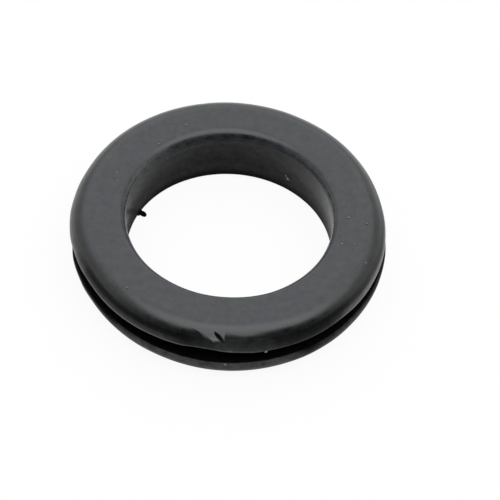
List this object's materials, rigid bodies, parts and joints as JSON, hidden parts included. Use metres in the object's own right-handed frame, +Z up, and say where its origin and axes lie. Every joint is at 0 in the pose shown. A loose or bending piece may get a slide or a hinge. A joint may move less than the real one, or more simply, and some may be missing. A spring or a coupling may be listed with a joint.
{
  "type": "rubber grommet",
  "caption": "Round open cable grommet: a soft black rubber ring with two flanges and an outer groove that snaps into a hole in a sheet-metal panel and lets a cable pass.",
  "frame": {"origin": "on the bore's axis, at the lower flange's bottom face, on which the grommet rests", "axes": "+Z up along the bore's axis, through the thickness; the nick in the upper shoulder is at -Y"},
  "size_m": [0.0302, 0.0302, 0.0063],
  "materials": {
    "black_rubber": "matte"
  },
  "bodies": {
    "root": {"grommet": "black_rubber"}
  },
  "joints": []
}
